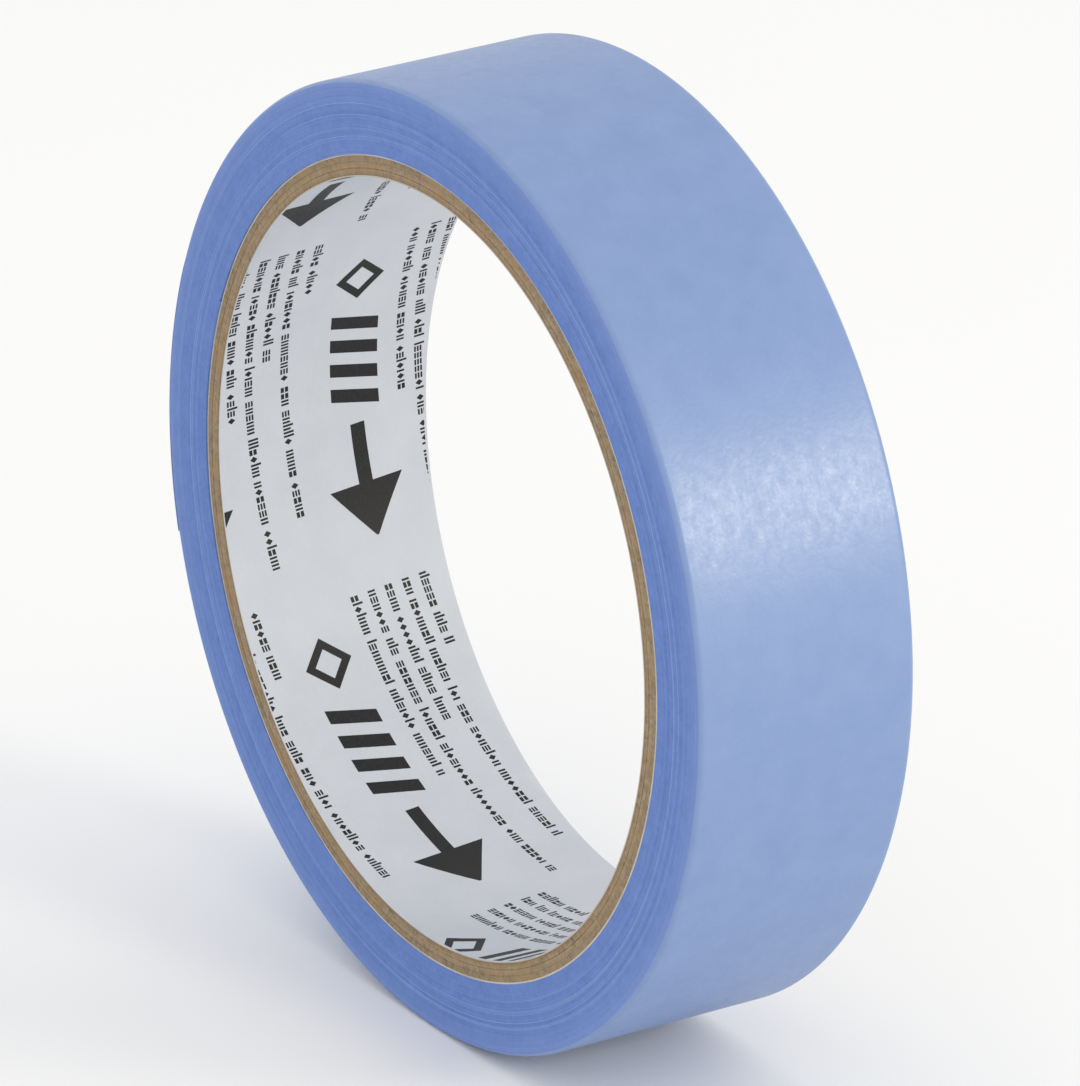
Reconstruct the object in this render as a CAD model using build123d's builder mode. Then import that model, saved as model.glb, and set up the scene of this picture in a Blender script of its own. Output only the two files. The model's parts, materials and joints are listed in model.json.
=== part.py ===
from build123d import *
import os
from math import cos, degrees, radians, sin

# A roll of masking tape standing on its rim: a spirally wound paper core with tape wound on it.
# Millimetres. The origin is the centre of the bore, +Y runs along the bore and +Z is up.
# Angles round the roll are in degrees from +Z towards +X. The tape's free end points towards
# smaller angles, so a turn's radius grows as its angle falls.

# Core
width = 24.0            # core and tape, end face to end face
bore_r = 38.0           # 76 mm (3 inch) tape core
core_r = 40.2           # outside of the core, where the tape starts
liner_t = 0.15          # white printed paper that lines the bore
face_ply_t = 0.16       # pale paper outside the board
board_ply_names = ("core_ply_inner", "core_ply_middle", "core_ply_outer")
board_ply_t = (core_r - face_ply_t - bore_r - liner_t) / len(board_ply_names)

# Helical butt seam of each ply
seam_gap = 0.08
seam_slant = 63.0       # from the bore's direction
seam_length = 60.0
liner_seam_angle = 63.0
seam_step = 137.0       # from one ply's seam to the next one's

# Tape
tape_t = 0.08
roll_r = 47.4           # top of the tape where its free end begins
rim_round = 0.7         # rounded edge between the outer surface and the end faces
flat = width - 2 * rim_round
lip_arc = degrees((width - flat) / 2 / rim_round)    # the strip is as wide as the roll, laid flat

# Free end of the tape, peeled at peel_angle and bending at each link
peel_angle = 292.0
link_names = ("leader_root", "leader_second", "leader_third", "leader_tip")
link_arc = 9.0
leader_slack = 0.8      # how much larger the free end's radius is than the roll's
leader_clearance = 0.07    # clears the rounded rims, where the turns lie closer together
link_gap = 0.03
strip_end_gap = 0.3     # from the inner end of the outer turn to the step under the peel line

cut_margin = 1.0        # how far a cut runs past the solid it cuts


def outwards(angle):
    """Unit vector pointing away from the bore's axis at this angle."""
    return Vector(sin(radians(angle)), 0, cos(radians(angle)))


def section_plane(centre, angle):
    """Plane of a cross-section: its local x is the radius at this angle, and its local y is +Y."""
    return Plane(origin=centre, x_dir=outwards(angle), z_dir=outwards(angle).cross(Vector(0, 1, 0)))


def half_turns():
    """The two half circles of one turn of the spiral: centre, radius of its top, and start angle.

    Each half starts at its lower angle. Shifting the centres by a quarter of the tape's thickness
    makes the halves tangent, and a whole turn rises by one thickness.
    """
    quarter = tape_t / 4
    inner = (outwards(peel_angle) * -quarter, roll_r - 3 * quarter, peel_angle - 180)
    outer = (outwards(peel_angle) * quarter, roll_r - quarter, peel_angle - 360)
    return inner, outer


def core_ply(name, inner_r, outer_r, seam_angle):
    """One ply of the core: a ring cut through by its slanted seam."""
    with BuildPart() as ply:
        with BuildSketch(Plane.XZ):
            Circle(outer_r)
            Circle(inner_r, mode=Mode.SUBTRACT)
        extrude(amount=width / 2, both=True)
        with BuildSketch(Plane(origin=(0, 0, 0), x_dir=(0, 1, 0), z_dir=outwards(seam_angle))):
            Rectangle(seam_length, seam_gap, rotation=seam_slant)
        extrude(amount=outer_r + cut_margin, mode=Mode.SUBTRACT)
    ply.part.label = name
    export_step(ply.part, f"parts/{name}.step")


def winding_section(top_r):
    """Section of the wound turns, with a step at each rim that the outer turn's edge lies in."""
    rim = (top_r - rim_round, flat / 2)
    with BuildSketch() as section:
        with BuildLine():
            Line((core_r - cut_margin, 0), (core_r - cut_margin, width / 2))
            Line((core_r - cut_margin, width / 2), (top_r - rim_round, width / 2))
            bare = CenterArc(rim, rim_round, lip_arc, 90 - lip_arc)
            covered = CenterArc(rim, rim_round - tape_t, 0, lip_arc)
            Line(bare @ 0, covered @ 1)
            Line(covered @ 0, (top_r - tape_t, 0))
            mirror(about=Plane.XZ)
        make_face()
    return section.sketch


def tape_section(top_r):
    """Section of one turn of tape: flat, with both edges pressed over the rounded rims."""
    rim = (top_r - rim_round, flat / 2)
    with BuildSketch() as section:
        with BuildLine():
            Line((top_r, 0), (top_r, flat / 2))
            upper = CenterArc(rim, rim_round, 0, lip_arc)
            lower = CenterArc(rim, rim_round - tape_t, 0, lip_arc)
            Line(upper @ 1, lower @ 1)
            Line(lower @ 0, (top_r - tape_t, 0))
            mirror(about=Plane.XZ)
        make_face()
    return section.sketch


def tape_winding():
    """All the turns under the outermost one, with the spiral's step under the peel line."""
    with BuildPart() as winding:
        for centre, top_r, start in half_turns():
            section = winding_section(top_r)
            with BuildSketch(section_plane(centre, start)):
                add(section)
            revolve(axis=Axis(centre, (0, 1, 0)), revolution_arc=180)
        with BuildSketch(Plane.XZ):
            Circle(core_r)
        extrude(amount=width / 2 + cut_margin, both=True, mode=Mode.SUBTRACT)
    winding.part.label = "tape_winding"
    export_step(winding.part, "parts/tape_winding.step")


def tape_outer_turn():
    """The outermost turn: it starts under the free end, goes once round and stops at the peel line."""
    inner_half, outer_half = half_turns()
    short_arc = 180 - degrees(strip_end_gap / roll_r)
    with BuildPart() as turn:
        for (centre, top_r, start), arc in ((inner_half, short_arc), (outer_half, 180)):
            section = tape_section(top_r)
            with BuildSketch(section_plane(centre, start)):
                add(section)
            revolve(axis=Axis(centre, (0, 1, 0)), revolution_arc=arc)
    turn.part.label = "tape_outer_turn"
    export_step(turn.part, "parts/tape_outer_turn.step")


def tape_leader():
    """The free end, in links. Its centre is shifted so that it rises off the roll towards its tip."""
    centre = outwards(peel_angle) * -leader_slack
    top_r = roll_r + leader_clearance + leader_slack
    gap_arc = degrees(link_gap / top_r)
    section = tape_section(top_r)
    for count, name in enumerate(link_names):
        hinge_angle = peel_angle - count * link_arc
        with BuildPart() as link:
            with BuildSketch(section_plane(centre, hinge_angle - link_arc)):
                add(section)
            revolve(axis=Axis(centre, (0, 1, 0)), revolution_arc=link_arc - gap_arc)
        link.part.label = name
        export_step(link.part, f"parts/{name}.step")
        hinge = centre + outwards(hinge_angle) * top_r
        print(f"{name} hinge x {hinge.X:.4f} z {hinge.Z:.4f}")


os.makedirs("parts", exist_ok=True)

core_ply("printed_liner", bore_r, bore_r + liner_t, liner_seam_angle)
for count, ply_name in enumerate(board_ply_names):
    ply_r = bore_r + liner_t + count * board_ply_t
    core_ply(ply_name, ply_r, ply_r + board_ply_t, liner_seam_angle + (count + 1) * seam_step)
core_ply("core_face_ply", core_r - face_ply_t, core_r, liner_seam_angle + 4 * seam_step)

tape_winding()
tape_outer_turn()
tape_leader()
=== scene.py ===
import json
import math
import bmesh
import bpy
import numpy as np
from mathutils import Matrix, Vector


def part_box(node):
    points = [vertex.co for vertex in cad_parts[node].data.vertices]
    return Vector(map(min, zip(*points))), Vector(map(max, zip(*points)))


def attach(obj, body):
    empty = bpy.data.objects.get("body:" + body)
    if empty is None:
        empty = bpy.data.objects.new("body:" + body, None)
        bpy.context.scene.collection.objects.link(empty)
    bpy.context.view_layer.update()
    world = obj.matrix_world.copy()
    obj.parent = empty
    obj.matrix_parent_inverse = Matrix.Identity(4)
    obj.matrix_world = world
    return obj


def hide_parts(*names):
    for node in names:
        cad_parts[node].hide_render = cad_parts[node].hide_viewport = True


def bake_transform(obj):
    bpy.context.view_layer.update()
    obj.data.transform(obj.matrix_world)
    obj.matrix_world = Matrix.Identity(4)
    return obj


# A roll of blue masking tape on its rim. Metres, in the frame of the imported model: +Y along the
# bore, +Z up, origin at the centre of the bore. Angles round the roll are radians from +Z to +X.
# The tape's free end points towards smaller angles.

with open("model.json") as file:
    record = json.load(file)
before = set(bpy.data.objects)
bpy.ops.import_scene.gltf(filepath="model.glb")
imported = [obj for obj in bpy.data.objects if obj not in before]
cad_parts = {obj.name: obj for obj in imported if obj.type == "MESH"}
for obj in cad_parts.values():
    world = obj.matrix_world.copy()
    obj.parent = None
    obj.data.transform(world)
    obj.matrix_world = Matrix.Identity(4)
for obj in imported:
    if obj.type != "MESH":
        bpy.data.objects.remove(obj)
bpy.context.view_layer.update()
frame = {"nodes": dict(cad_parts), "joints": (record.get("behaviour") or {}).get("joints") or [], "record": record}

MM = 0.001
TURN = 2 * math.pi

# ---------------------------------------------------------------- sizes, from the frame
joints = {j["name"]: j for j in frame["joints"]}
peel_line = Vector(joints["tape_peel"]["pos_m"])
bore_mount = next(m for m in frame["record"]["mounts"] if m["name"] == "core_bore")
bore_r = bore_mount["dims"]["r_mm"] * MM
half_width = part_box("printed_liner")[1].y
floor_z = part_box("tape_outer_turn")[0].z

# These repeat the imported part's own dimensions.
tape_t = 0.08 * MM
rim_round = 0.7 * MM                            # rounded edge between the outer and the end faces
leader_clearance = 0.07 * MM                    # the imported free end's stand-off from the roll
leader_slack = 0.8 * MM                         # how much larger the free end's radius is
leader_links = 4
leader_arc = leader_links * math.radians(9)
inside = 0.003 * MM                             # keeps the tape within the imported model's facets
roll_r = peel_line.length - leader_clearance - inside
peel_angle = math.atan2(peel_line.x, peel_line.z) % TURN
core_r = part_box("core_face_ply")[1].x
flat_half = half_width - rim_round
lip_arc = 1.0                                   # radians of the rounded rim that the tape covers

seam_slant = math.radians(63)                   # of each core ply's seam, from the bore's direction
seam_gap = 0.08 * MM


# ---------------------------------------------------------------- mesh helpers
noise_length = 8192                             # random values in one line of noise
row_seeds = 1000                                # rows of noise may be below 0, and seeds may not


def wave_noise(x, seed, wrap=0):
    """Smooth noise from -1 to 1 along x, one random value per unit; it repeats after wrap units."""
    values = np.random.default_rng(seed).uniform(-1, 1, noise_length)
    cell = np.floor(x).astype(int)
    part = x - cell
    ease = part * part * (3 - 2 * part)
    period = wrap or len(values)
    return values[cell % period] * (1 - ease) + values[(cell + 1) % period] * ease


def patch_noise(x, y, seed, wrap=0):
    """Smooth noise from -1 to 1 over a surface; it repeats after wrap units of x."""
    low = np.floor(y)
    part = y - low
    ease = part * part * (3 - 2 * part)
    rows = np.unique(low)
    made = np.zeros(np.broadcast(x, y).shape)
    x = np.broadcast_to(x, made.shape)
    ease = np.broadcast_to(ease, made.shape)
    low = np.broadcast_to(low, made.shape)
    for row in rows:
        here = low == row
        row_seed = seed + int(row) + row_seeds
        below = wave_noise(x[here], row_seed, wrap)
        above = wave_noise(x[here], row_seed + 1, wrap)
        made[here] = below * (1 - ease[here]) + above * ease[here]
    return made


def on_roll(radius, angle, y):
    """Points at this distance and angle from the bore's axis."""
    radius, angle, y = np.broadcast_arrays(radius, angle, y)
    return np.stack([radius * np.sin(angle), y, radius * np.cos(angle)], -1)


def ring_faces(columns, points):
    """Quads that join closed loops of points, column to column, with a cap at each end.

    A cap joins each point of the loop to the one across the piece's thickness.
    """
    faces = []
    last = (columns - 1) * points
    for here in range(0, last, points):
        there = here + points
        for k in range(points):
            nxt = (k + 1) % points
            faces.append((here + k, there + k, there + nxt, here + nxt))
    for k in range(points // 2 - 1):
        across = points - 1 - k
        faces.append((k, k + 1, across - 1, across))
        faces.append((last + across, last + across - 1, last + k + 1, last + k))
    return faces


def make_piece(name, points, faces, materials, face_material=None, uv=None, sharp=40):
    """A mesh object from points and faces, with outward normals and smooth shading up to an angle."""
    mesh = bpy.data.meshes.new(name)
    mesh.from_pydata(np.asarray(points).reshape(-1, 3).tolist(), [], faces)
    for material in materials:
        mesh.materials.append(material)
    if face_material is not None:
        mesh.polygons.foreach_set("material_index", np.asarray(face_material, np.int32))
    if uv is not None:
        corner = np.zeros(len(mesh.loops), np.int32)
        mesh.loops.foreach_get("vertex_index", corner)
        layer = mesh.uv_layers.new(name="strip")
        layer.data.foreach_set("uv", np.asarray(uv).reshape(-1, 2)[corner].astype(np.float32).ravel())
    made = bmesh.new()
    made.from_mesh(mesh)
    bmesh.ops.recalc_face_normals(made, faces=made.faces)
    made.to_mesh(mesh)
    made.free()
    mesh.shade_smooth()
    mesh.set_sharp_from_angle(angle=math.radians(sharp))
    piece = bpy.data.objects.new(name, mesh)
    bpy.context.scene.collection.objects.link(piece)
    return piece


# ---------------------------------------------------------------- material helpers
def new_material(name, roughness, specular=0.5):
    """A material, its tree and its shader; roughness is its middle value where nodes vary it."""
    material = bpy.data.materials.new(name)
    material.use_nodes = True
    tree = material.node_tree
    shader = tree.nodes["Principled BSDF"]
    shader.inputs["Roughness"].default_value = roughness
    shader.inputs["Specular IOR Level"].default_value = specular
    return material, tree, shader


def node(tree, kind, inputs=None, **settings):
    """A node with its settings, and each input either linked from a socket or set to a value."""
    made = tree.nodes.new(kind)
    for key, value in settings.items():
        setattr(made, key, value)
    for key, value in (inputs or {}).items():
        if isinstance(value, bpy.types.NodeSocket):
            tree.links.new(value, made.inputs[key])
        else:
            made.inputs[key].default_value = value
    return made


def noise(tree, vector, scale, detail=3.0, roughness=0.55, distortion=0.0):
    made = node(tree, "ShaderNodeTexNoise", {
        "Vector": vector, "Scale": scale, "Detail": detail,
        "Roughness": roughness, "Distortion": distortion,
    })
    return made.outputs["Fac"]


LOW, HIGH = 0.3, 0.7                            # most of a noise texture lies between these


def spread(tree, value, low, high, to_low=0.0, to_high=1.0):
    """value's range from low to high, stretched to another range and clamped."""
    made = node(tree, "ShaderNodeMapRange", {
        "Value": value, "From Min": low, "From Max": high, "To Min": to_low, "To Max": to_high,
    })
    return made.outputs["Result"]


def blend_colours(tree, share, first, second):
    """first where share is 0 and second where it is 1."""
    made = node(tree, "ShaderNodeMix", {0: share, 6: first, 7: second}, data_type="RGBA")
    return made.outputs[2]


def maths(tree, operation, first, second=0.0):
    made = node(tree, "ShaderNodeMath", {0: first, 1: second}, operation=operation)
    return made.outputs[0]


def weighted(tree, *parts):
    """Sum of the sockets in parts, each times its weight."""
    total = None
    for value, weight in parts:
        term = maths(tree, "MULTIPLY", value, weight)
        total = term if total is None else maths(tree, "ADD", total, term)
    return total


def scaled(tree, vector, factors):
    made = node(tree, "ShaderNodeVectorMath", {0: vector, 1: factors}, operation="MULTIPLY")
    return made.outputs[0]


def add_bump(tree, shader, height, distance, strength):
    made = node(tree, "ShaderNodeBump", {"Height": height, "Distance": distance, "Strength": strength})
    tree.links.new(made.outputs["Normal"], shader.inputs["Normal"])


def object_place(tree):
    return node(tree, "ShaderNodeTexCoord").outputs["Object"]


def strip_place(tree):
    """Place on the tape, in metres: along it, and across it."""
    return node(tree, "ShaderNodeUVMap", uv_map="strip").outputs["UV"]


def roll_radius(tree):
    """Distance from the bore's axis."""
    split = node(tree, "ShaderNodeSeparateXYZ", {0: object_place(tree)})
    x, _, z = split.outputs
    squares = maths(tree, "ADD", maths(tree, "MULTIPLY", x, x), maths(tree, "MULTIPLY", z, z))
    return maths(tree, "SQRT", squares)


# ---------------------------------------------------------------- materials
# Colours are linear. A noise's scale is in its cells per metre.
paper_deep = (0.160, 0.257, 0.508, 1)           # the tape's outer face
paper_light = (0.186, 0.284, 0.540, 1)
paper_fleck = (0.30, 0.39, 0.64, 1)
adhesive_deep = (0.20, 0.29, 0.53, 1)           # its inner face
adhesive_light = (0.27, 0.36, 0.60, 1)
edge_deep = (0.100, 0.186, 0.484, 1)            # its cut edges
edge_light = (0.170, 0.274, 0.634, 1)
# painted highlight towards the rounded rims of the end faces
edge_rim_highlight = (0.205, 0.300, 0.600, 1)
edge_worn = (0.34, 0.45, 0.73, 1)
board_warm = (0.37, 0.245, 0.125, 1)
# painted shade along each core ply's inner face
board_painted_shade = (0.10, 0.068, 0.040, 1)
ink_solid = (0.0075, 0.0075, 0.0085, 1)
ink_thin = (0.026, 0.026, 0.029, 1)
floor_dim = (0.92, 0.92, 0.925, 1)
floor_bright = (0.94, 0.94, 0.94, 1)


def tape_face_material():
    """The tape's outer face: thin blue paper with a satin coat, mottled by its fibres."""
    material, tree, shader = new_material("tape_face", 0.42, 1.0)
    place = strip_place(tree)
    cloud = noise(tree, place, 240, 3, 0.6)
    fibres = noise(tree, scaled(tree, place, (1.0, 1.2, 1.0)), 700, 5, 0.62, 0.4)
    specks = noise(tree, place, 1900, 2, 0.5)
    fine = noise(tree, place, 3500, 3, 0.6, 0.5)
    tone = blend_colours(tree, spread(tree, cloud, LOW, HIGH), paper_deep, paper_light)
    flecks = spread(tree, fine, 0.60, 0.75, 0.0, 0.25)      # only the noise's highest spots
    tree.links.new(blend_colours(tree, flecks, tone, paper_fleck), shader.inputs["Base Color"])
    broad_gloss = spread(tree, fibres, LOW, HIGH, 0.35, 0.47)
    fine_gloss = spread(tree, fine, LOW, HIGH, -0.04, 0.04)
    tree.links.new(maths(tree, "ADD", broad_gloss, fine_gloss), shader.inputs["Roughness"])
    height = weighted(tree, (fibres, 0.45), (specks, 0.4), (fine, 0.15))
    add_bump(tree, shader, height, 0.05 * MM, 0.8)
    return material


def tape_back_material():
    """The tape's adhesive face: the same paper seen through a thin clear coat of adhesive."""
    material, tree, shader = new_material("tape_adhesive", 0.3)
    place = strip_place(tree)
    streak = noise(tree, scaled(tree, place, (0.25, 1.0, 1.0)), 900, 3, 0.6)
    grain = noise(tree, place, 2600, 3, 0.6)
    tone = blend_colours(tree, spread(tree, streak, LOW, HIGH), adhesive_deep, adhesive_light)
    tree.links.new(tone, shader.inputs["Base Color"])
    tree.links.new(spread(tree, streak, LOW, HIGH, 0.22, 0.42), shader.inputs["Roughness"])
    shader.inputs["Coat Weight"].default_value = 0.35
    shader.inputs["Coat Roughness"].default_value = 0.25
    add_bump(tree, shader, grain, 0.012 * MM, 0.7)
    return material


def ring_noise(tree, radius, scale, detail):
    """Noise that changes only with distance from the bore's axis."""
    inputs = {"W": radius, "Scale": scale, "Detail": detail}
    return node(tree, "ShaderNodeTexNoise", inputs, noise_dimensions="1D").outputs["Fac"]


def tape_edge_material():
    """The wound turns' cut edges: deeper blue, in fine rings of slightly different tone.

    They are paler towards the rounded rims, a painted highlight where the rims catch the light, and paler where an
    edge stands proud and has worn.
    """
    material, tree, shader = new_material("tape_edges", 0.62, 0.3)
    radius = roll_radius(tree)
    place = object_place(tree)
    fine = ring_noise(tree, radius, 9000, 2)
    bands = ring_noise(tree, radius, 1500, 3)
    speckle = noise(tree, place, 1900, 4, 0.65)
    patch = noise(tree, place, 420, 2, 0.5)
    rings = weighted(tree, (fine, 0.7), (bands, 0.3))
    share = weighted(tree, (rings, 0.45), (speckle, 0.35), (patch, 0.2))
    tone = blend_colours(tree, spread(tree, share, 0.37, 0.63), edge_deep, edge_light)
    # Painted highlight: the end faces lighten over their outer 3 mm, where the rounded rims catch the light.
    painted_rim_highlight = spread(tree, radius, roll_r - 3.2 * MM, roll_r - 0.3 * MM, 0.0, 0.5)
    paler = blend_colours(tree, painted_rim_highlight, tone, edge_rim_highlight)
    proud = node(tree, "ShaderNodeAttribute", attribute_name="edge_wear").outputs["Fac"]
    worn = blend_colours(tree, maths(tree, "MULTIPLY", proud, 0.85), paler, edge_worn)
    tree.links.new(worn, shader.inputs["Base Color"])
    tree.links.new(spread(tree, speckle, LOW, HIGH, 0.55, 0.72), shader.inputs["Roughness"])
    add_bump(tree, shader, share, 0.03 * MM, 0.7)
    return material


def board_material(name, dark, light, ply_seed, inner_r, inner_shade_strength):
    """Grey-brown kraft board: layers that lie round the roll, with clumped fibres of other tones.

    Each ply is darker at its inner face: painted shade along the line where it meets the ply within it.
    """
    material, tree, shader = new_material(name, 0.85, 0.2)
    place = object_place(tree)
    radius = roll_radius(tree)
    layers = ring_noise(tree, maths(tree, "ADD", radius, ply_seed), 7000, 3)
    grain = noise(tree, place, 2300, 4, 0.68, 0.6)
    cloud = noise(tree, place, 260, 2, 0.5)
    clumps = noise(tree, place, 1100, 2, 0.5, 0.8)
    share = weighted(tree, (layers, 0.25), (grain, 0.5), (clumps, 0.25))
    tone = blend_colours(tree, spread(tree, share, 0.40, 0.60), dark, light)
    warm = blend_colours(tree, spread(tree, cloud, 0.35, 0.65, 0.0, 0.5), tone, board_warm)
    # Painted shade: a thin dark band at the ply's inner face, where it meets the ply within.
    painted_inner_shade = spread(tree, radius, inner_r + 0.04 * MM, inner_r + 0.16 * MM, inner_shade_strength, 0.0)
    tree.links.new(blend_colours(tree, painted_inner_shade, warm, board_painted_shade), shader.inputs["Base Color"])
    tree.links.new(spread(tree, grain, LOW, HIGH, 0.78, 0.92), shader.inputs["Roughness"])
    add_bump(tree, shader, share, 0.09 * MM, 0.9)
    return material


def paper_material(name, dark, light, roughness, bump):
    """Plain paper with faint fibres and clouding."""
    material, tree, shader = new_material(name, roughness, 0.4)
    place = object_place(tree)
    cloud = noise(tree, place, 180, 3, 0.55)
    grain = noise(tree, place, 3200, 4, 0.65, 0.8)
    share = weighted(tree, (cloud, 0.6), (grain, 0.4))
    tone = blend_colours(tree, spread(tree, share, 0.35, 0.65), dark, light)
    tree.links.new(tone, shader.inputs["Base Color"])
    gloss = spread(tree, grain, LOW, HIGH, roughness - 0.06, roughness + 0.06)
    tree.links.new(gloss, shader.inputs["Roughness"])
    add_bump(tree, shader, grain, bump, 0.8)
    return material


def ink_material():
    """Black printing ink, a little thin over the paper's high fibres."""
    material, tree, shader = new_material("print_ink", 0.5, 0.3)
    place = object_place(tree)
    grain = noise(tree, place, 4200, 3, 0.6)
    tone = blend_colours(tree, spread(tree, grain, 0.45, 0.8), ink_solid, ink_thin)
    tree.links.new(tone, shader.inputs["Base Color"])
    tree.links.new(spread(tree, grain, LOW, HIGH, 0.42, 0.6), shader.inputs["Roughness"])
    add_bump(tree, shader, grain, 0.006 * MM, 0.6)
    return material


def floor_material():
    material, tree, shader = new_material("floor", 0.9, 0.2)
    cloud = noise(tree, object_place(tree), 6, 2, 0.5)
    tone = blend_colours(tree, spread(tree, cloud, LOW, HIGH), floor_dim, floor_bright)
    tree.links.new(tone, shader.inputs["Base Color"])
    return material


tape_face = tape_face_material()
tape_back = tape_back_material()
tape_edges = tape_edge_material()


# ---------------------------------------------------------------- the tape
lip_points = 7                                  # across each pressed edge of the strip
flat_points = 25                                # across the flat between them, both ends counted
end_gap = 0.3 * MM                              # from the outer turn's inner end to the step
root_start = 2.0 * MM / roll_r                  # how far before the peel line the outer turn ends
lip_lift = 0.055 * MM                           # keeps the free end's pressed edges off the turn below
lift_run = 2.0 * MM                             # it reaches its full height this far along


def strip_radius(turned):
    """Radius of the outermost turn's face, after this angle from the step under the peel line."""
    return roll_r - tape_t + tape_t * turned / TURN


def tape_outline():
    """Place across, drop and lean of each point of the outer face: flat, but pressed over the rims."""
    lip = np.linspace(lip_arc, 0, lip_points)
    flat = np.linspace(-flat_half, flat_half, flat_points)[1:-1]
    left = [(-flat_half - rim_round * math.sin(a), rim_round * (1 - math.cos(a)), -a) for a in lip]
    middle = [(y, 0.0, 0.0) for y in flat]
    right = [(-y, drop, -lean) for y, drop, lean in reversed(left)]
    return np.array(left + middle + right)


def tape_loop(radius, angle, centre=0.0, wobble=0.0):
    """Closed loop of points round a slice of tape: its outer face, then its adhesive face back.

    centre moves the slice's own axis outwards along the peel line's direction.
    """
    y, drop, lean = tape_outline().T
    outer = np.stack([radius - drop + wobble, y], -1)
    inner = outer - tape_t * np.stack([np.cos(lean), np.sin(lean)], -1)
    loop = np.concatenate([outer, inner[::-1]])
    points = on_roll(loop[:, 0], angle, loop[:, 1])
    return points + centre * np.array([math.sin(peel_angle), 0, math.cos(peel_angle)])


def tape_strip(name, loops, along, body=None):
    """A closed piece of tape from its loops, with the paper outside and the adhesive inside."""
    paper, adhesive, cut = 0, 1, 2
    loops = np.array(loops)
    columns, count = loops.shape[:2]
    faces = ring_faces(columns, count)
    across = np.concatenate([tape_outline()[:, 0], tape_outline()[::-1, 0]])
    uv = np.stack(np.broadcast_arrays(np.asarray(along)[:, None], across[None, :]), -1)
    outer_faces = count // 2 - 1
    kind = []
    for index in range(len(faces)):
        k = index % count
        if index >= (columns - 1) * count:
            kind.append(cut)
        elif k < outer_faces:
            kind.append(paper)
        elif outer_faces < k < count - 1:
            kind.append(adhesive)
        else:
            kind.append(cut)
    piece = make_piece(name, loops, faces, [tape_face, tape_back, tape_edges], kind, uv)
    if body:
        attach(piece, body)
    return piece


def face_dents(angle, y):
    """The wound face isn't quite true: shallow dents, and finer ripples, across the roll."""
    dents_round, dent_wide, dent_deep = 40, 7 * MM, 0.012 * MM
    ripples_round, ripple_wide, ripple_deep = 200, 2.2 * MM, 0.003 * MM
    dents = patch_noise(angle / TURN * dents_round, y / dent_wide, 11, wrap=dents_round)
    ripples = patch_noise(angle / TURN * ripples_round, y / ripple_wide, 61, wrap=ripples_round)
    return -dent_deep * (1 + dents) / 2 - ripple_deep * (1 + ripples) / 2


def outer_turn():
    """The outermost turn: from under the free end, once round, to just before the peel line."""
    columns = 360
    fade_arc = 0.15
    turned = np.linspace(end_gap / roll_r, TURN - root_start, columns)
    y = tape_outline()[:, 0]
    loops = []
    for t in turned:
        angle = peel_angle - t
        fade = min(1.0, (TURN - root_start - t) / fade_arc)
        dents = face_dents(np.full_like(y, angle % TURN), y) * fade
        loops.append(tape_loop(strip_radius(t), angle, wobble=dents))
    piece = tape_strip("outer_turn_paper", loops, turned * roll_r, "roll")
    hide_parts("tape_outer_turn")


def free_end_point(s):
    """Radius, angle and centre shift of the free end's face, s metres past the peel line."""
    if s <= 0:
        turned = TURN + s / roll_r
        return strip_radius(turned), peel_angle - s / roll_r, 0.0
    radius = roll_r + leader_slack
    rise = leader_slack * (1 - math.cos(s / radius))
    part = min(1.0, s / lift_run)
    lift = lip_lift * part * part * (3 - 2 * part)
    return radius + math.hypot(rise, lift) - rise, peel_angle - s / radius, -leader_slack


def free_end():
    """The strip from just before the peel line to the cut end, in four pieces cut halfway along the imported free
    end's links.
    """
    spacing = 0.2 * MM
    first_bend = 1.6 * MM
    length = (roll_r + leader_slack) * leader_arc
    link = length / leader_links
    chain = ["roll", "leader_root", "leader_second", "leader_third", "leader_tip"]
    cuts = [-root_start * roll_r, 0.5 * link, 1.5 * link, 2.5 * link, length]
    names = ["free_end_root", "free_end_second", "free_end_third", "free_end_tip"]
    for count, name in enumerate(names):
        low, high = cuts[count], cuts[count + 1]
        spots = np.arange(low, high, spacing)
        if high - spots[-1] < spacing / 2:
            spots = spots[:-1]
        spots = np.append(spots, high)
        loops = [tape_loop(*free_end_point(s)) for s in spots]
        if name == "free_end_tip":
            roughen_cut(loops)
        piece = tape_strip(name, loops, spots + TURN * roll_r)
        hinge = count * link
        if count == 0:
            start, end = peel_line, along_tangent(0, first_bend)
        else:
            start, end = along_tangent(hinge, -0.5 * link), along_tangent(hinge, 0.5 * link)
        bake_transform(piece)
        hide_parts(chain[count + 1])


def along_tangent(s, step):
    """A point step metres along the free end's direction at s metres past the peel line."""
    just_past = 1e-9                            # so that s = 0 counts as the free end
    radius, angle, centre = free_end_point(max(s, just_past))
    spot = Vector(on_roll(radius, angle, 0.0).tolist())
    spot += centre * Vector((math.sin(peel_angle), 0, math.cos(peel_angle)))
    return spot + step * Vector((-math.cos(angle), 0, math.sin(angle)))


def roughen_cut(loops):
    """Moves the last slice of the tip a little along the tape, as a knife leaves torn fibres."""
    ragged = 0.05 * MM
    tip, before = loops[-1], loops[-2]
    forward = (tip - before) / np.linalg.norm(tip - before, axis=1, keepdims=True)
    half = len(tip) // 2
    steps = wave_noise(np.arange(half) * 0.9, 77) * ragged - ragged
    steps = np.concatenate([steps, steps[::-1]])
    loops[-1] = tip + forward * steps[:, None]


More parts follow.
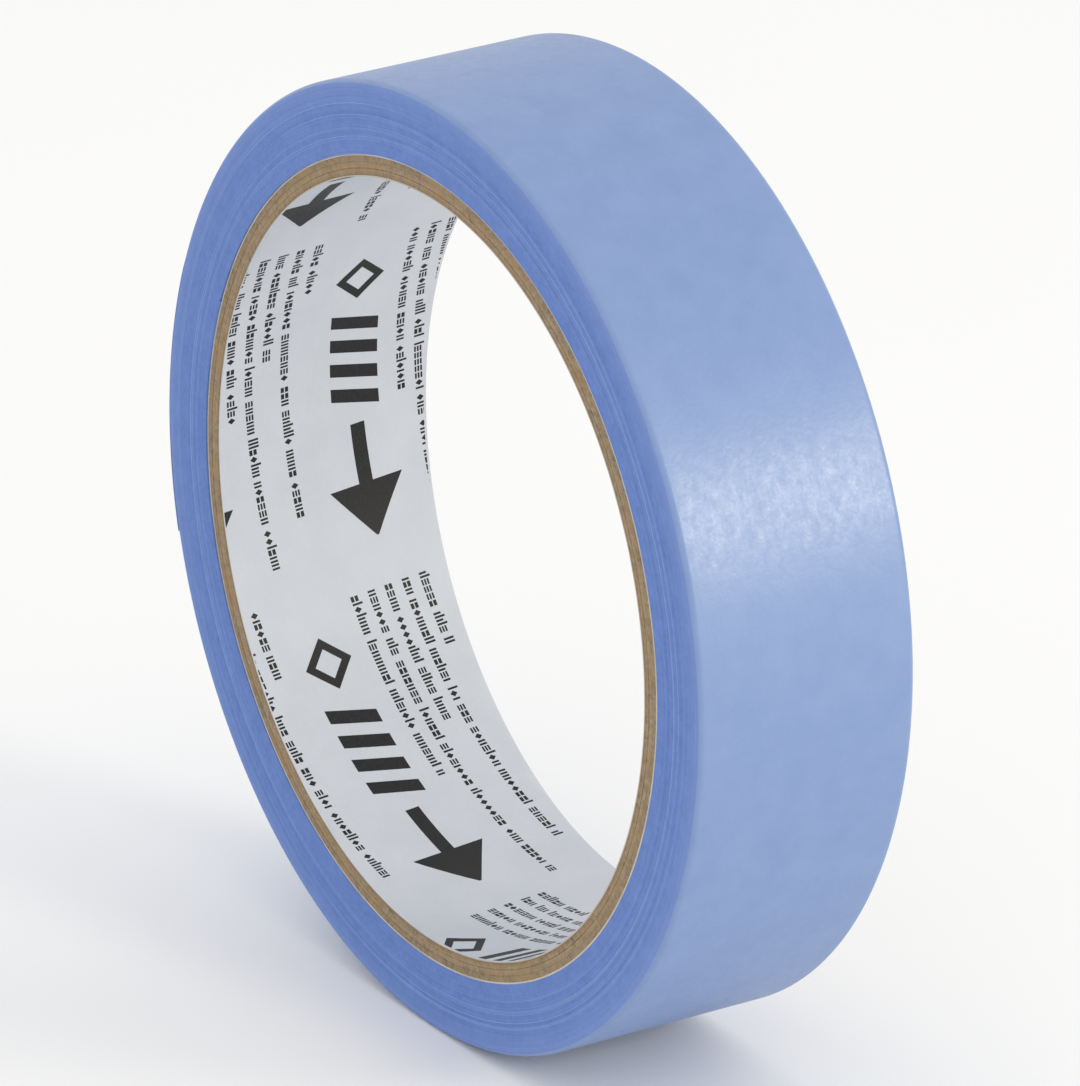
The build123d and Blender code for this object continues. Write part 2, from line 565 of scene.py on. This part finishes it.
def winding_turns():
    """The turns under the outermost one, as a spiral whose edges show on both end faces.

    A station is a place along the wound strip. Its groove lies between it and the turn before,
    and its crown is the middle of its edge.
    """
    per_turn = 192                              # stations in one turn
    groove_depth = 0.016 * MM                   # of a groove, behind the crowns beside it
    rim_groove = 0.012 * MM
    core_gap = 0.008 * MM                       # between the first turn and the core
    worn_rise = 0.03 * MM                       # how far a worn edge stands proud
    groove_wear = 0.3                           # wear of a groove, as a share of a crown's
    edge_r = strip_radius(0) - rim_round
    turns = int((edge_r - core_r) / tape_t)
    start_r = edge_r - turns * tape_t
    last = turns * per_turn
    groove = np.arange(last + per_turn + 1)
    crown = np.arange(last + 1)

    def angle(station):
        return peel_angle - station / per_turn * TURN

    def radius(station):
        return start_r + tape_t * station / per_turn

    def stand(station, seed):
        """How far back from the end face the edge is at each station.

        It drifts over a few turns, jumps from each turn to the next, and wavers along a turn.
        """
        middle, drift, jump, waver = 0.035, 0.018, 0.012, 0.004         # mm
        drifts_per_turn, shift_stations, waver_stations = 0.55, 90, 23
        turn = station / per_turn
        drifting = wave_noise(turn * drifts_per_turn, seed)
        shift = 0.5 * wave_noise(station / shift_stations, seed + 3)    # of the place of each jump
        jumping = wave_noise(np.floor(turn + shift), seed + 1)
        wavering = wave_noise(station / waver_stations, seed + 2)
        return (middle + drift * drifting + jump * jumping + waver * wavering) * MM

    def wear(station, seed):
        """1 where an edge stands proud and has frayed pale, in a few arcs, and 0 elsewhere.

        The arcs are mostly halfway between the core and the rim.
        """
        middle_r, zone_width = 43.6 * MM, 2.4 * MM
        threshold, sharpness = 0.66, 3.2
        arcs_per_turn, arc_start, fray_stations = 1.1, 31, 37
        arcs = wave_noise(station / per_turn * arcs_per_turn + arc_start, seed + 5)
        arcs = arcs + 0.5 * wave_noise(station / fray_stations, seed + 6)
        zone = np.clip(1.5 - np.abs(radius(station) - middle_r) / zone_width, 0.25, 1)
        return np.clip((arcs * zone - threshold) * sharpness, 0, 1)

    groove_r = radius(groove)
    groove_r[:per_turn] = core_r + core_gap     # the first turn closes on the core
    points, wears = [], []
    groove_at, crown_at = {}, {}
    for side, seed in ((-1, 101), (1, 201)):
        groove_at[side] = sum(map(len, points))
        back = stand(groove - per_turn / 2, seed) + groove_depth
        back[last:] = rim_groove
        points.append(on_roll(groove_r, angle(groove), side * (half_width - back)))
        wears.append(wear(groove, seed) * groove_wear)
        crown_at[side] = sum(map(len, points))
        worn = wear(crown, seed)
        back = np.maximum(stand(crown, seed) - worn_rise * worn, 0)
        points.append(on_roll(radius(crown + per_turn / 2), angle(crown), side * (half_width - back)))
        wears.append(worn)

    # The rounded rims and the face under the outermost turn, from one end face to the other.
    rim_points = 6
    bare = [(a, rim_round) for a in np.linspace(math.pi / 2, lip_arc, rim_points)[1:]]
    covered = [(a, rim_round - tape_t) for a in np.linspace(lip_arc, 0, rim_points)]
    profile = [(-flat_half - r * math.sin(a), rim_round - r * math.cos(a)) for a, r in bare + covered]
    profile += [(-y, drop) for y, drop in reversed(profile)]
    across = len(profile)
    turned = np.arange(per_turn + 1)[:, None] / per_turn * TURN
    y, drop = np.array(profile).T
    top_at = sum(map(len, points))
    tops = on_roll(strip_radius(turned) - drop, peel_angle - turned, y)
    points.append(tops.reshape(-1, 3))
    wears.append(np.zeros(len(points[-1])))

    faces = []
    for side in (-1, 1):
        g, c = groove_at[side], crown_at[side]
        for i in range(last):
            faces.append((g + i, g + i + 1, c + i + 1, c + i))
            faces.append((c + i, c + i + 1, g + i + per_turn + 1, g + i + per_turn))
    outer = {-1: groove_at[-1] + last, 1: groove_at[1] + last}
    for j in range(per_turn):
        here, there = top_at + j * across, top_at + (j + 1) * across
        faces.append((outer[-1] + j, outer[-1] + j + 1, there, here))
        for k in range(across - 1):
            faces.append((here + k, there + k, there + k + 1, here + k + 1))
        faces.append((here + across - 1, there + across - 1, outer[1] + j + 1, outer[1] + j))
        faces.append((groove_at[-1] + j, groove_at[-1] + j + 1, groove_at[1] + j + 1, groove_at[1] + j))
    # The inner end of the tape, at the core, and the step at the outer end.
    faces.append((groove_at[-1], crown_at[-1], groove_at[-1] + per_turn,
                  groove_at[1] + per_turn, crown_at[1], groove_at[1]))
    low, high = top_at, top_at + per_turn * across
    for k in range(across - 1):
        faces.append((low + k, low + k + 1, high + k + 1, high + k))
    for side, end in ((-1, 0), (1, across - 1)):
        faces.append((outer[side], low + end, high + end, outer[side] + per_turn, crown_at[side] + last))

    piece = make_piece("winding_turns", np.concatenate(points), faces, [tape_edges], sharp=70)
    attribute = piece.data.attributes.new("edge_wear", "FLOAT", "POINT")
    attribute.data.foreach_set("value", np.concatenate(wears).astype(np.float32))
    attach(piece, "roll")
    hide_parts("tape_winding")


outer_turn()
free_end()
winding_turns()


# ---------------------------------------------------------------- the core
core_sunk = 0.22 * MM                           # the core stands a little askew in the winding: its
sunk_angle = math.radians(290)                  # front end lies deepest here, and its back end opposite
cut_unevenness = 0.03 * MM                      # of each ply's cut ends
liner_seam = math.radians(63)
seam_step = math.radians(137)                   # from one ply's seam to the next one's


def ply_radii(node_name):
    """Inner and outer radius of a ply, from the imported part."""
    squares = [v.co.x ** 2 + v.co.z ** 2 for v in frame["nodes"][node_name].data.vertices]
    return math.sqrt(min(squares)), math.sqrt(max(squares))


def seam_shift(y, radius):
    """How far round the roll a ply's helical seam has moved at y, from halfway along the bore."""
    return -math.tan(seam_slant) * y / radius


def core_ply(node_name, piece_name, seam_angle, materials, seed, recess):
    """One ply of the core, cut through by its seam, with slightly uneven cut ends.

    With two materials, the first is for the inner face and the second for the rest.
    """
    inner_r, outer_r = ply_radii(node_name)
    thickness = outer_r - inner_r
    bevel = min(0.03 * MM, thickness * 0.3)
    columns, row_count = 288, 26
    coarse_round, coarse_wide = 90, 0.2 * MM    # cells of the cut's unevenness: round, and in radius
    fine_round, fine_wide = 420, 0.1 * MM
    rows = np.linspace(-half_width + bevel, half_width - bevel, row_count)
    ends = [(inner_r + thickness * share, -half_width) for share in (0.62, 0.88)]
    outer_side = ends + [(outer_r, y) for y in rows] + [(r, -y) for r, y in reversed(ends)]
    low_ends = [(inner_r + thickness * share, half_width) for share in (0.38, 0.12)]
    inner_side = low_ends + [(inner_r, y) for y in rows[::-1]] + [(r, -y) for r, y in reversed(low_ends)]
    loop = np.array(outer_side + inner_side)
    side, reach = np.sign(loop[:, 1]), np.abs(loop[:, 1])
    at_end = reach > half_width - bevel / 2
    gap = seam_gap / inner_r
    loops = []
    for u in np.linspace(0, 1, columns):
        angle = seam_angle - gap / 2 - u * (TURN - gap) + seam_shift(loop[:, 1], loop[:, 0])
        around = angle % TURN / TURN
        coarse = patch_noise(around * coarse_round, loop[:, 0] / coarse_wide, seed, wrap=coarse_round)
        fine = patch_noise(around * fine_round, loop[:, 0] / fine_wide, seed + 7, wrap=fine_round)
        uneven = 0.5 + 0.3 * coarse + 0.2 * fine
        sunk = recess + core_sunk * (1 - side * np.cos(angle - sunk_angle)) / 2
        cut = half_width - sunk - cut_unevenness * uneven
        y = side * np.where(at_end, cut, np.minimum(reach, half_width - sunk - bevel))
        loops.append(on_roll(loop[:, 0], angle, y))
    faces = ring_faces(columns, len(loop))
    kind = None
    if len(materials) > 1:
        first = len(outer_side) + len(low_ends) - 1
        kind = np.ones((columns - 1, len(loop)), int)
        kind[:, first:first + len(rows) + 1] = 0
        kind = np.append(kind.ravel(), np.ones(len(faces) - kind.size, int))
    piece = make_piece(piece_name, loops, faces, materials, kind)
    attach(piece, "roll")
    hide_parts(node_name)


def kraft(node_name, dark, light, ply_seed, inner_shade_strength):
    inner_r = ply_radii(node_name)[0]
    name = node_name.replace("core_ply", "kraft")
    return board_material(name, dark, light, ply_seed, inner_r, inner_shade_strength)


def make_core():
    """The liner, three plies of board and the pale face ply, from the inside out."""
    smooth, rough = (0.5, 0.012 * MM), (0.8, 0.03 * MM)
    printed = paper_material("liner_paper", (0.535, 0.565, 0.625, 1), (0.585, 0.610, 0.665, 1), *smooth)
    edge = paper_material("liner_edge", (0.42, 0.37, 0.29, 1), (0.56, 0.50, 0.42, 1), *rough)
    pale = paper_material("pale_paper", (0.47, 0.43, 0.36, 1), (0.66, 0.62, 0.55, 1), *rough)
    # The last number is the strength of the painted shade at each ply's inner face.
    inner = kraft("core_ply_inner", (0.19, 0.138, 0.086, 1), (0.38, 0.296, 0.200, 1), 0.0, 0.5)
    middle = kraft("core_ply_middle", (0.22, 0.158, 0.096, 1), (0.40, 0.312, 0.206, 1), 0.3, 0.2)
    outer = kraft("core_ply_outer", (0.18, 0.134, 0.086, 1), (0.37, 0.292, 0.200, 1), 0.6, 0.2)
    plies = [
        ("printed_liner", "liner_sheet", [printed, edge], "liner_paper", 0.02),
        ("core_ply_inner", "board_ply_inner", [inner], "kraft_board", 0.02),
        ("core_ply_middle", "board_ply_middle", [middle], "kraft_board", 0.05),
        ("core_ply_outer", "board_ply_outer", [outer], "kraft_board", 0.02),
        ("core_face_ply", "face_ply", [pale], "pale_paper", 0.005),
    ]
    for count, (node_name, piece_name, materials, slot_name, recess) in enumerate(plies):
        seam_angle = liner_seam + count * seam_step
        core_ply(node_name, piece_name, seam_angle, materials, 301 + 10 * count, recess * MM)


make_core()


# ---------------------------------------------------------------- the liner's print
# Places on the unrolled liner are metres: s along the print's columns, which run against the
# angle, and y along the bore. A block's own places are mm from the left end of its baseline.
ink_bottom = bore_r + 0.02 * MM                 # set into the paper
ink_top = bore_r - 0.012 * MM                   # just proud of it
print_tilt = math.radians(5.2)
block_pitch = bore_r * TURN / 6
row_pitch = 19.4 * MM
column_rise = 3.3 * MM                          # from one column of blocks to the next
first_block = (math.radians(237.5), -6.9 * MM)  # angle and y of one block's baseline start
mark_height = 5.4
diamond_stroke = 1.15


def seam_limits():
    """s of the liner's seam halfway along the bore, at each end of the unrolled sheet."""
    return -bore_r * (TURN + liner_seam), -bore_r * liner_seam


def diamond():
    """An outlined diamond at the start of the baseline, as four mitred bars."""
    half = mark_height / 2
    share = 1 - diamond_stroke / half
    corners = [(half, 0), (0, half), (-half, 0), (0, -half)]
    bars = []
    for here, there in zip(corners, corners[1:] + corners[:1]):
        quad = [here, there, (there[0] * share, there[1] * share), (here[0] * share, here[1] * share)]
        bars.append([(half + px, half + py) for px, py in quad])
    return bars


def block_mark():
    """The bold mark of one block: a diamond, four slanted bars and an arrow."""
    shapes = diamond()
    first_bar, slant, bar, step = 7.0, 1.5, 1.45, 2.8
    for k in range(4):
        left = first_bar + k * step
        right = left + bar
        shapes.append([(left, 0), (right, 0), (right + slant, mark_height), (left + slant, mark_height)])
    tail, head, tip = 19.8, 26.0, 31.4
    shaft, barb, blunt = 0.8, 4.2, 0.12
    middle = mark_height / 2
    low, high = middle - shaft, middle + shaft
    shapes.append([(tail, low), (head, low), (head, high), (tail, high)])
    shapes.append([(head, middle - barb), (tip, middle - blunt), (tip, middle + blunt), (head, middle + barb),
                   (head, high), (head, low)])
    return shapes


def box(x, y, wide, high):
    return [(x, y), (x + wide, y), (x + wide, y + high), (x, y + high)]


def small_shape(kind, x, y):
    """One of a few tiny shapes, none of them a letter, and how wide it is."""
    if kind == 0:
        return [box(x, y, 0.22, 1.15)], 0.22
    if kind == 1:
        return [box(x, y, 0.22, 0.84)], 0.22
    if kind == 2:
        return [box(x, y + rise, 0.6, 0.2) for rise in (0, 0.32, 0.64)], 0.6
    if kind == 3:
        return [[(x, y + 0.42), (x + 0.32, y), (x + 0.64, y + 0.42), (x + 0.32, y + 0.84)]], 0.64
    if kind == 4:
        return [box(x, y, 0.21, 0.84), box(x + 0.37, y, 0.21, 0.84)], 0.58
    return [box(x, y, 0.56, 0.36), box(x, y + 0.48, 0.56, 0.36)], 0.56


def block_lines(rng):
    """Five lines above the mark, grouped like words, that stand for small print."""
    left, gap = -2.7, 0.15
    shapes = []
    for length, base in ((7.5, 15.75), (32.0, 13.7), (15.0, 11.65), (36.5, 9.65), (20.5, 7.6)):
        x, end = left, left + length
        while x < end:
            for _ in range(rng.integers(3, 9)):
                made, wide = small_shape(rng.integers(0, 6), x, base)
                if x + wide > end:
                    break
                shapes += made
                x += wide + gap
            x += rng.uniform(0.4, 0.6)
    return shapes


def unrolled(shapes, s, y):
    """A block's shapes, tilted and moved to their place on the unrolled liner."""
    cos, sin = math.cos(print_tilt), math.sin(print_tilt)
    return [[(s + (px * cos - py * sin) * MM, y + (px * sin + py * cos) * MM) for px, py in shape]
            for shape in shapes]


def print_layout():
    """Shapes of every block that the unrolled liner holds: bold marks, and small print."""
    rng = np.random.default_rng(5)
    lowest, highest = -34 * MM, 16 * MM         # baselines whose blocks may reach the liner
    columns, rows = range(-6, 7), range(-4, 5)  # enough to cover the sheet
    marks, lines = [], []
    s_start = -bore_r * first_block[0]
    for column in columns:
        s = s_start + column * block_pitch
        rise = column * column_rise
        half_row = row_pitch / 2 if column % 2 else 0.0
        for row in rows:
            y = first_block[1] + rise + half_row + row * row_pitch
            if lowest < y < highest:
                marks += unrolled(block_mark(), s, y)
                lines += unrolled(block_lines(rng), s, y)
    return marks, lines


def ink_film(name, shapes, material, step):
    """Thin closed films of ink on the liner, cut at its ends and along its seam.

    If step isn't 0, they are also cut every step metres, so that large shapes follow the bore.
    """
    flat = bmesh.new()
    end_margin = core_sunk + 0.1 * MM
    seam_margin = 0.15 * MM
    for shape in shapes:
        ys = [y for _, y in shape]
        if max(ys) < -half_width or min(ys) > half_width:
            continue
        flat.faces.new([flat.verts.new((s, y, 0)) for s, y in shape])
    bmesh.ops.remove_doubles(flat, verts=flat.verts[:], dist=0.001 * MM)
    low, high = seam_limits()
    run = math.tan(seam_slant)                  # how far the seam goes round for each metre of bore
    cuts = [((0, half_width - end_margin, 0), (0, 1, 0)), ((0, end_margin - half_width, 0), (0, -1, 0)),
            ((low + seam_margin, 0, 0), (-1, run, 0)), ((high - seam_margin, 0, 0), (1, -run, 0))]
    for spot, away in cuts:
        every = flat.verts[:] + flat.edges[:] + flat.faces[:]
        bmesh.ops.bisect_plane(flat, geom=every, plane_co=spot, plane_no=away, clear_outer=True)
    if step:
        reach = run * half_width
        edge = math.floor((low - reach) / step) * step
        while edge < high + reach:
            every = flat.verts[:] + flat.edges[:] + flat.faces[:]
            bmesh.ops.bisect_plane(flat, geom=every, plane_co=(edge, 0, 0), plane_no=(1, 0, 0))
            edge += step
    flat.verts.index_update()
    places = np.array([v.co for v in flat.verts])
    count = len(places)
    faces = []
    for face in flat.faces:
        ring = [v.index for v in face.verts]
        faces += [ring, [v + count for v in reversed(ring)]]
    for edge in flat.edges:
        if len(edge.link_faces) == 1:
            a, b = (v.index for v in edge.verts)
            faces.append([a, b, b + count, a + count])
    flat.free()
    angle = -places[:, 0] / bore_r
    top = on_roll(ink_top, angle, places[:, 1])
    bottom = on_roll(ink_bottom, angle, places[:, 1])
    piece = make_piece(name, np.concatenate([top, bottom]), faces, [material])
    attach(piece, "roll")


ink = ink_material()
bold_marks, small_print = print_layout()
ink_film("print_marks", bold_marks, ink, step=1.0 * MM)
ink_film("print_lines", small_print, ink, step=0)


# ---------------------------------------------------------------- stage, lights and camera
def floor():
    mesh = bpy.data.meshes.new("floor")
    reach = 3.0
    corners = [(-1, -1), (1, -1), (1, 1), (-1, 1)]
    mesh.from_pydata([(reach * x, reach * y, floor_z) for x, y in corners], [], [(0, 1, 2, 3)])
    mesh.materials.append(floor_material())
    plane = bpy.data.objects.new("floor", mesh)
    bpy.context.scene.collection.objects.link(plane)


def soft_light(name, towards, distance, size, watts, colour):
    """A square soft light, in this direction from the roll and facing it."""
    light = bpy.data.lights.new(name, "AREA")
    light.color = colour
    light.shape = "SQUARE"
    light.size = size
    light.energy = watts
    lamp = bpy.data.objects.new(name, light)
    way = Vector(towards).normalized()
    lamp.location = way * distance
    lamp.rotation_mode = "QUATERNION"
    lamp.rotation_quaternion = way.to_track_quat("Z", "Y")
    bpy.context.scene.collection.objects.link(lamp)


def sky(strength):
    world = bpy.data.worlds.new("studio")
    world.use_nodes = True
    background = world.node_tree.nodes["Background"]
    background.inputs["Color"].default_value = (1.0, 1.0, 1.0, 1)
    background.inputs["Strength"].default_value = strength
    bpy.context.scene.world = world


def main_camera():
    """A long lens from the front right, a little above."""
    azimuth, elevation = math.radians(57.40), math.radians(22.50)
    distance, aim_right, aim_up = 1.1841, 0.78 * MM, 0.15 * MM
    back = Vector((math.sin(azimuth) * math.cos(elevation), -math.cos(azimuth) * math.cos(elevation),
                   math.sin(elevation)))
    right = Vector((math.cos(azimuth), math.sin(azimuth), 0))
    up = back.cross(right)
    data = bpy.data.cameras.new("camera")
    data.lens = 412.2
    data.sensor_width = 36
    data.clip_start, data.clip_end = 0.05, 20
    camera = bpy.data.objects.new("camera", data)
    camera.location = back * distance + right * aim_right + up * aim_up
    camera.rotation_mode = "QUATERNION"
    camera.rotation_quaternion = back.to_track_quat("Z", "Y")
    bpy.context.scene.collection.objects.link(camera)
    bpy.context.scene.camera = camera


floor()
sky(0.97)
soft_light("key", towards=(0.80, 0.50, 0.33), distance=0.7, size=0.18, watts=1.45, colour=(1.0, 0.94, 0.74))
main_camera()
bpy.context.scene.view_settings.view_transform = "Standard"
